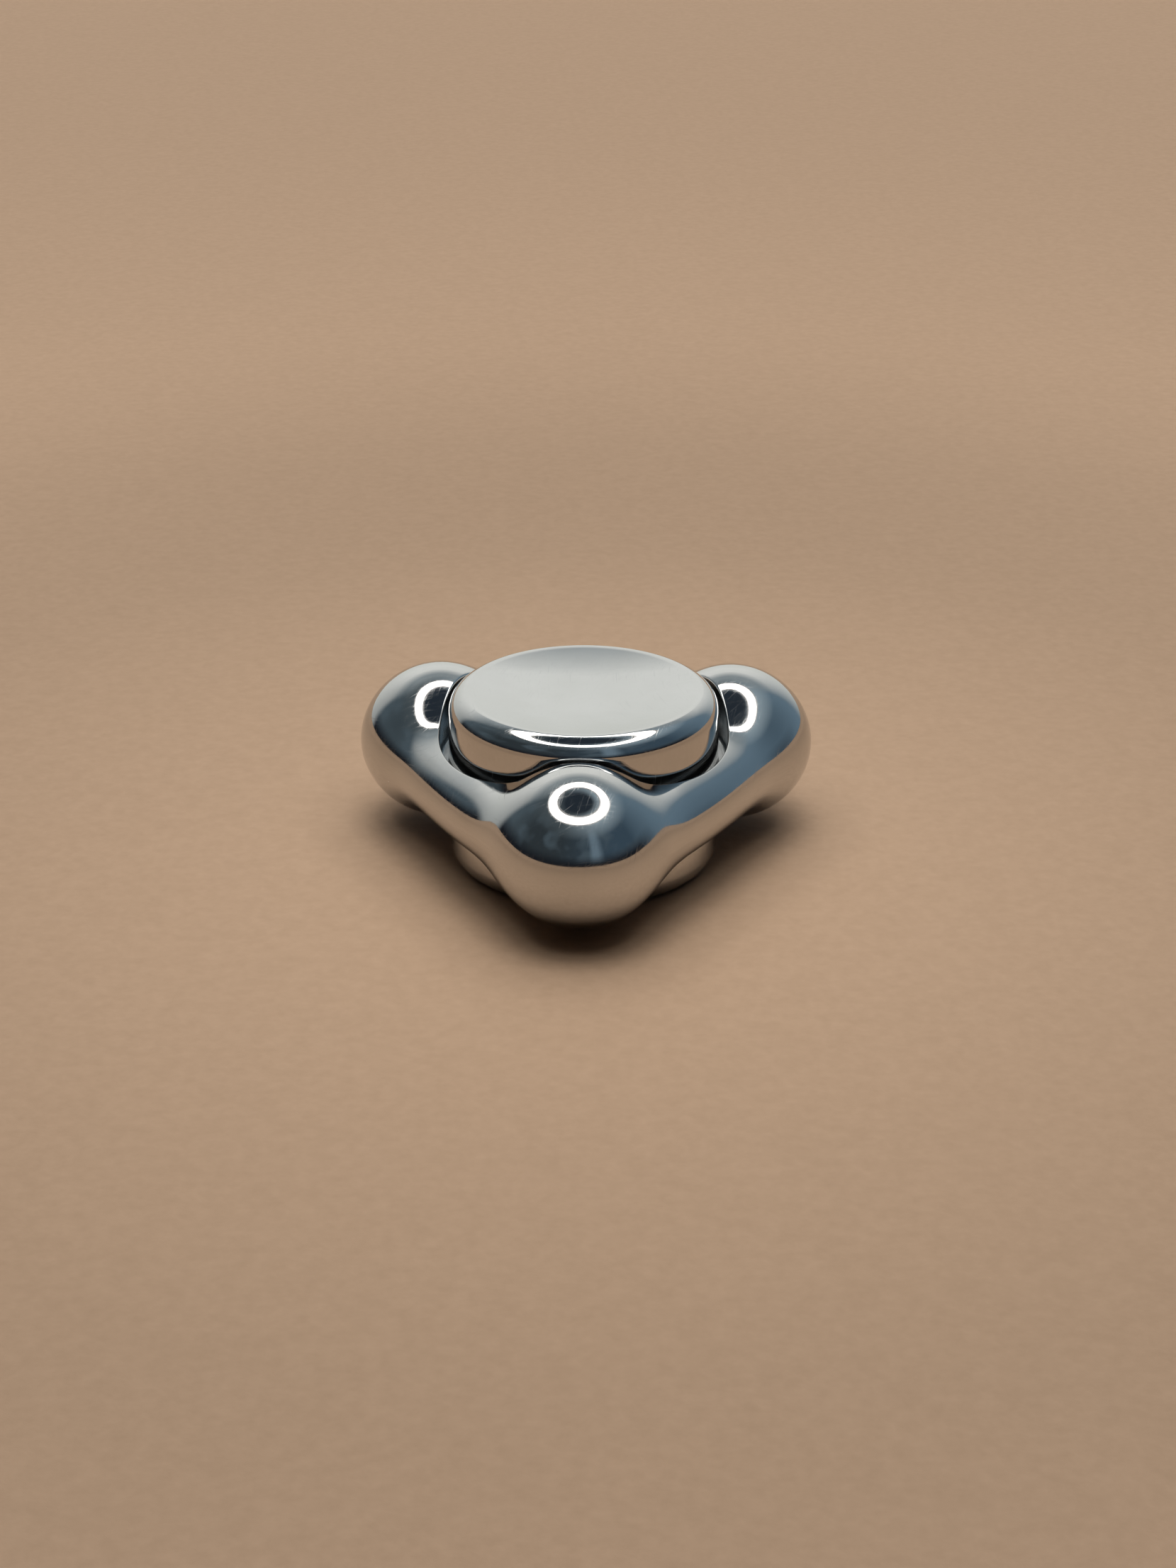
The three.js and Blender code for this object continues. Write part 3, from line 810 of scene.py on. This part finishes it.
def scratches(shader, place, width_mm, length_ratio, turns, above):
    """Sparse straight hairlines in several directions, from 0 to 1."""
    total = 0.0
    for turn in turns:
        lines = shader.noise(place, width_mm, 0.0, (turn, (length_ratio, 1, length_ratio)))
        total = shader.maths("MAXIMUM", shader.ramp(lines, above, above + 0.06, 0, 1), total)
    return total


def dust(shader, place, spacing_mm, size_mm, share):
    """A mask of tiny specks, on only some of the cells of a scattered pattern."""
    scale = 1 / (spacing_mm * MM)
    cells = shader.node("ShaderNodeTexVoronoi", {"Vector": place, "Scale": scale})
    radius = size_mm / spacing_mm
    near = shader.ramp(cells.outputs["Distance"], radius * 0.6, radius, 1, 0)
    channels = shader.node("ShaderNodeSeparateColor", {0: cells.outputs["Color"]})
    chosen = shader.maths("LESS_THAN", channels.outputs[0], share)
    return shader.maths("MULTIPLY", near, chosen)


def turning_lines(shader, place, pitch_mm):
    """Rings that follow a turning tool, on faces and on cylinders about the spin axis."""
    split = shader.node("ShaderNodeSeparateXYZ", {0: place})
    x, y, z = split.outputs
    flat = shader.maths("ADD", shader.maths("MULTIPLY", x, x), shader.maths("MULTIPLY", y, y))
    along = shader.maths("ADD", shader.maths("SQRT", flat), z)
    wobble = shader.maths("MULTIPLY", shader.noise(place, 2.5), 0.3 * pitch_mm * MM)
    turns = shader.maths("MULTIPLY", shader.maths("ADD", along, wobble), TAU / (pitch_mm * MM))
    return shader.maths("SINE", turns)


def bump(shader, height, distance_mm):
    """The normal of a surface that rises by distance_mm where height goes from 0 to 1."""
    inputs = {"Height": height, "Distance": distance_mm * MM, "Strength": 1.0}
    return shader.node("ShaderNodeBump", inputs).outputs[0]


def polished_steel():
    """Mirror polish with faint smudges, hairlines from handling and a few specks of dust."""
    material, shader, surface, place = start_material("polished_steel_mirror")
    smudge = shader.noise(place, 7.0, 4.0)
    hairline = scratches(
        shader, place, 0.035, 70, ((0.4, 0.2, 0.3), (0.1, 0.9, 1.4), (1.2, 0.3, 2.4)), 0.72
    )
    speck = dust(shader, place, 3.6, 0.055, 0.3)
    base = shader.blend(shader.ramp(smudge, 0.35, 0.7, 0, 1), grey(0.6), grey(0.56, (1, 1, 0.99)))
    shader.put(surface.inputs["Base Color"], shader.blend(speck, base, grey(0.85)))
    rough = shader.ramp(smudge, 0.4, 0.75, 0.035, 0.085)
    rough = shader.maths("MAXIMUM", rough, shader.maths("MULTIPLY", hairline, 0.22))
    rough = shader.maths("MAXIMUM", rough, shader.maths("MULTIPLY", speck, 0.9))
    shader.put(surface.inputs["Roughness"], rough)
    shader.put(surface.inputs["Metallic"], shader.maths("SUBTRACT", 1.0, speck))
    grain = shader.noise(place, 0.18, 2.0)
    wave = shader.noise(place, 5.0, 1.0)
    relief = shader.maths("ADD", shader.maths("MULTIPLY", grain, 0.02), wave)
    relief = shader.maths("SUBTRACT", relief, shader.maths("MULTIPLY", hairline, 0.02))
    relief = shader.maths("ADD", relief, shader.maths("MULTIPLY", speck, 2.0))
    shader.put(surface.inputs["Normal"], bump(shader, relief, 0.012))
    return material


def turned_steel():
    """The lathe's finish inside the wells and under the buttons."""
    material, shader, surface, place = start_material("polished_steel_turned")
    lines = turning_lines(shader, place, 0.16)
    stain = shader.noise(place, 3.0, 4.0)
    base = shader.blend(shader.ramp(stain, 0.4, 0.7, 0, 1), grey(0.62), grey(0.52, (1, 0.99, 0.96)))
    shader.put(surface.inputs["Base Color"], base)
    shader.put(surface.inputs["Roughness"], shader.ramp(stain, 0.3, 0.7, 0.12, 0.22))
    surface.inputs["Metallic"].default_value = 1
    shader.put(surface.inputs["Normal"], bump(shader, lines, 0.0012))
    return material


def ground_steel():
    """Fine grinding lines round the bearing rings, with a little oil."""
    material, shader, surface, place = start_material("bearing_steel_ground")
    lines = turning_lines(shader, place, 0.07)
    oil = shader.noise(place, 1.2, 3.0)
    base = shader.blend(shader.ramp(oil, 0.45, 0.7, 0, 1), grey(0.6), grey(0.48, (1, 0.97, 0.9)))
    shader.put(surface.inputs["Base Color"], base)
    shader.put(surface.inputs["Roughness"], shader.ramp(oil, 0.3, 0.7, 0.26, 0.1))
    surface.inputs["Metallic"].default_value = 1
    shader.put(surface.inputs["Normal"], bump(shader, lines, 0.0006))
    return material


def lapped_steel():
    """Balls lapped to a mirror, with the faintest cloudiness."""
    material, shader, surface, place = start_material("ball_steel_lapped")
    cloud = shader.noise(place, 0.6, 3.0)
    shader.put(surface.inputs["Base Color"], shader.blend(cloud, grey(0.7), grey(0.64)))
    shader.put(surface.inputs["Roughness"], shader.ramp(cloud, 0.3, 0.7, 0.02, 0.06))
    surface.inputs["Metallic"].default_value = 1
    shader.put(surface.inputs["Normal"], bump(shader, shader.noise(place, 0.08), 0.0002))
    return material


def satin_steel():
    """The cage: tumbled stainless, evenly dull with small dents."""
    material, shader, surface, place = start_material("cage_steel_satin")
    tumble = shader.noise(place, 0.25, 4.0)
    shader.put(surface.inputs["Base Color"], shader.blend(tumble, grey(0.5), grey(0.38)))
    shader.put(surface.inputs["Roughness"], shader.ramp(tumble, 0.3, 0.7, 0.28, 0.42))
    surface.inputs["Metallic"].default_value = 1
    shader.put(surface.inputs["Normal"], bump(shader, tumble, 0.004))
    return material


def pressed_steel():
    """Thin rolled sheet, with the rolling grain in one direction."""
    material, shader, surface, place = start_material("shield_steel_pressed")
    rolling = shader.noise(place, 0.05, 2.0, ((0, 0, 0.3), (30, 1, 1)))
    cloud = shader.noise(place, 1.5, 3.0)
    shader.put(surface.inputs["Base Color"], shader.blend(cloud, grey(0.56), grey(0.46)))
    shader.put(surface.inputs["Roughness"], shader.ramp(rolling, 0.3, 0.7, 0.22, 0.36))
    surface.inputs["Metallic"].default_value = 1
    shader.put(surface.inputs["Normal"], bump(shader, rolling, 0.001))
    return material


def spring_steel():
    """Darkened spring steel, slightly oily, brighter where it has rubbed."""
    material, shader, surface, place = start_material("spring_steel_dark")
    rub = shader.noise(place, 0.7, 5.0)
    share = shader.ramp(rub, 0.52, 0.68, 0, 1)
    shader.put(surface.inputs["Base Color"], shader.blend(share, grey(0.1), grey(0.3)))
    shader.put(surface.inputs["Roughness"], shader.ramp(rub, 0.3, 0.7, 0.45, 0.3))
    surface.inputs["Metallic"].default_value = 1
    shader.put(surface.inputs["Normal"], bump(shader, shader.noise(place, 0.1), 0.002))
    return material


# ---------------------------------------------------------------- studio


def floor_paper():
    """Matt tan paper with a fine mottle."""
    material, shader, surface, place = start_material("pale_floor")
    grain = shader.noise(place, FLOOR_GRAIN, 4.0)
    shader.put(surface.inputs["Base Color"], shader.blend(grain, FLOOR_COLOUR, FLOOR_SHADE))
    surface.inputs["Roughness"].default_value = 0.8
    surface.inputs["Specular IOR Level"].default_value = 0.2
    shader.put(surface.inputs["Normal"], bump(shader, grain, 0.05))
    return material


def add_staged(name, points, material):
    """A part of the studio, which is no piece of the object."""
    mesh = round_mesh(name, points, closed=False)
    mesh.materials.append(material)
    mesh.polygons.foreach_set("use_smooth", [True] * len(mesh.polygons))
    staged = bpy.data.objects.new(name, mesh)
    bpy.context.scene.collection.objects.link(staged)
    return staged


def add_floor():
    """A round floor and a backdrop that curves up from it, which shows only to the camera."""
    ground = cad_bounds[0].z / MM
    paper = floor_paper()
    rings = [(radius, ground) for radius in (0, 50, 200, 600, 1400, STUDIO_RADIUS)]
    add_staged("studio_floor", turned_points(rings, 96), paper)
    cove = arc((STUDIO_RADIUS - COVE_RADIUS, ground + COVE_RADIUS), COVE_RADIUS, -90, 0, 16)
    wall = [*cove, (STUDIO_RADIUS, WALL_HEIGHT)]
    backdrop = add_staged("studio_backdrop", turned_points(wall, 96), paper)
    backdrop.visible_glossy = False
    backdrop.visible_diffuse = False
    backdrop.visible_shadow = False


def glow_material(name, strength):
    """An even warm white glow."""
    material = bpy.data.materials.new(name)
    material.use_nodes = True
    tree = material.node_tree
    tree.nodes.clear()
    shader = Shader(tree)
    glow = shader.node("ShaderNodeEmission", {0: LAMP_COLOUR, 1: strength})
    output = shader.node("ShaderNodeOutputMaterial")
    tree.links.new(glow.outputs[0], output.inputs[0])
    return material


def add_ring_lamp():
    """A bright ring overhead, with a fainter and wider one over it for the haze round it."""
    for name, inner, outer, above, strength in (
        ("ring_lamp", LAMP_INNER_RADIUS, LAMP_OUTER_RADIUS, 0, LAMP_STRENGTH),
        ("ring_lamp_haze", HAZE_INNER_RADIUS, HAZE_OUTER_RADIUS, 1, HAZE_STRENGTH),
    ):
        height = LAMP_HEIGHT + above
        points = turned_points([(inner, height), (outer, height)], 96)
        points[..., 1] += LAMP_Y
        lamp = add_staged(name, points, glow_material(name, strength))
        lamp.visible_camera = False


def add_soft_light(name, place, aim, size, spread_deg, power):
    """A soft round light that shows in no reflection."""
    light = bpy.data.lights.new(name, "AREA")
    light.shape = "DISK"
    light.size = size
    light.spread = math.radians(spread_deg)
    light.energy = power
    light.color = SOFT_LIGHT_COLOUR
    soft = bpy.data.objects.new(name, light)
    soft.location = place
    soft.rotation_mode = "QUATERNION"
    soft.rotation_quaternion = (Vector(aim) - Vector(place)).to_track_quat("-Z", "Y")
    soft.visible_glossy = False
    soft.visible_camera = False
    bpy.context.scene.collection.objects.link(soft)


def compass(shader, direction):
    """How far a direction points behind (1) or in front (-1), how far right (1) or left (-1),
    and how far up (1)."""
    x, y, z = shader.node("ShaderNodeSeparateXYZ", {0: direction}).outputs
    flat = shader.maths("SQRT", shader.maths("SUBTRACT", 1.0, shader.maths("MULTIPLY", z, z)))
    flat = shader.maths("MAXIMUM", flat, 0.001)
    return shader.maths("DIVIDE", y, flat), shader.maths("DIVIDE", x, flat), z


def dim_room(shader, direction, back, side, z):
    """Blue-grey walls with cloudy patches and a tall window in front, brighter at the back
    and overhead and dark along the foot."""
    rightness = shader.ramp(side, -0.5, 0.8, 0, 1)
    room = shader.blend(rightness, ROOM_LEFT, ROOM_RIGHT)
    clouds = shader.node("ShaderNodeTexNoise", {"Vector": direction, "Scale": 3.0, "Detail": 1.0})
    patches = shader.ramp(clouds.outputs[0], 0.5, 0.7, 0, 0.6)
    room = shader.layer(room, ROOM_PATCH, patches)
    in_front = shader.ramp(back, -0.3, -0.6, 0, 1)
    left_jamb = shader.ramp(side, 0.26, 0.36, 0, 1)
    right_jamb = shader.ramp(side, 0.46, 0.6, 1, 0)
    lintel = shader.ramp(z, 0.85, 0.7, 0, 1)
    room = shader.layer(room, WINDOW, in_front, left_jamb, right_jamb, lintel)
    glow = shader.blend(rightness, BACK_LEFT, BACK_RIGHT)
    room = shader.layer(room, glow, shader.ramp(back, -0.15, 0.6, 0, 1))
    rightness = shader.ramp(side, -0.6, 0.8, 0, 1)
    overhead = shader.blend(rightness, OVERHEAD_LEFT, OVERHEAD_RIGHT)
    room = shader.layer(room, overhead, shader.ramp(z, 0.62, 0.85, 0, 1))
    lit_foot = shader.maths("ADD", back, shader.maths("MULTIPLY", side, 0.35))
    foot = shader.ramp(z, 0.05, 0.27, 1, 0)
    unlit = shader.ramp(lit_foot, 0.35, 0.75, 1, 0)
    return shader.layer(room, SKIRTING, foot, unlit)


def lit_wall(shader, room, back, side, z):
    """The pale wall behind, a little to the left, with its lit left edge and ceiling."""
    across = shader.maths("MULTIPLY", side, math.sin(WALL_TURN))
    to_wall = shader.maths("MULTIPLY", back, math.cos(WALL_TURN))
    to_wall = shader.maths("SUBTRACT", to_wall, across)
    near_wall = shader.ramp(to_wall, 0.55, 0.9, 0, 1)
    room = shader.layer(room, CEILING, near_wall, shader.ramp(z, 0.75, 0.9, 1, 0))
    edge = shader.ramp(to_wall, 0.57, 0.67, 0, 1)
    on_left = shader.ramp(side, 0.4, -0.1, 0, 1)
    low = shader.ramp(z, 0.42, 0.6, 1, 0)
    room = shader.layer(room, WALL_EDGE, edge, on_left, low)
    height = shader.ramp(z, 0.0, 0.35, 0, 1)
    pale = shader.blend(height, WALL_LOW, WALL_HIGH)
    facing = shader.ramp(to_wall, 0.6, 0.97, 0, 1)
    return shader.layer(room, pale, facing, shader.ramp(z, 0.52, 0.7, 1, 0))


def add_world():
    """A dim blue room with one pale wall, seen only in reflections. It is dark straight
    above, inside the ring lamp."""
    world = bpy.data.worlds.new("studio_room")
    bpy.context.scene.world = world
    world.use_nodes = True
    world.cycles_visibility.diffuse = False
    tree = world.node_tree
    tree.nodes.clear()
    shader = Shader(tree)
    direction = shader.node("ShaderNodeTexCoord").outputs["Generated"]
    back, side, z = compass(shader, direction)
    room = dim_room(shader, direction, back, side, z)
    room = lit_wall(shader, room, back, side, z)
    room = shader.layer(room, LAMP_MIDDLE, shader.ramp(z, 0.93, 0.97, 0, 1))
    background = shader.node("ShaderNodeBackground", {0: room, 1: ROOM_STRENGTH})
    output = shader.node("ShaderNodeOutputWorld")
    tree.links.new(background.outputs[0], output.inputs[0])


def add_camera():
    """The camera, aimed a little off the object's middle."""
    elevation = math.radians(CAMERA_ELEVATION)
    azimuth = math.radians(CAMERA_AZIMUTH)
    outward = Vector(
        (
            math.cos(elevation) * math.cos(azimuth),
            math.cos(elevation) * math.sin(azimuth),
            math.sin(elevation),
        )
    )
    rotation = (-outward).to_track_quat("-Z", "Y")
    data = bpy.data.cameras.new("camera")
    data.lens = CAMERA_LENS
    data.sensor_width = SENSOR_LONG_SIDE
    data.clip_start = 0.01
    camera = bpy.data.objects.new("camera", data)
    camera.rotation_mode = "QUATERNION"
    camera.rotation_quaternion = rotation
    aim = rotation @ Vector((AIM_RIGHT, AIM_UP, 0))
    camera.location = (outward * CAMERA_DISTANCE + aim) * MM
    bpy.context.scene.collection.objects.link(camera)
    bpy.context.scene.camera = camera


POLISHED = polished_steel()
TURNED = turned_steel()
GROUND = ground_steel()
LAPPED = lapped_steel()
SATIN = satin_steel()
PRESSED = pressed_steel()
SPRING = spring_steel()

add_body()
add_buttons()
add_outer_ring()
add_inner_ring()
add_balls()
add_cage()
for side in ("top", "bottom"):
    add_shield(side)
    add_snap_ring(side)
    add_spacer(side)
add_lock_ring()
add_floor()
add_ring_lamp()
for soft_light in SOFT_LIGHTS:
    add_soft_light(*soft_light)
add_world()
add_camera()
bpy.context.scene.view_settings.view_transform = "Standard"
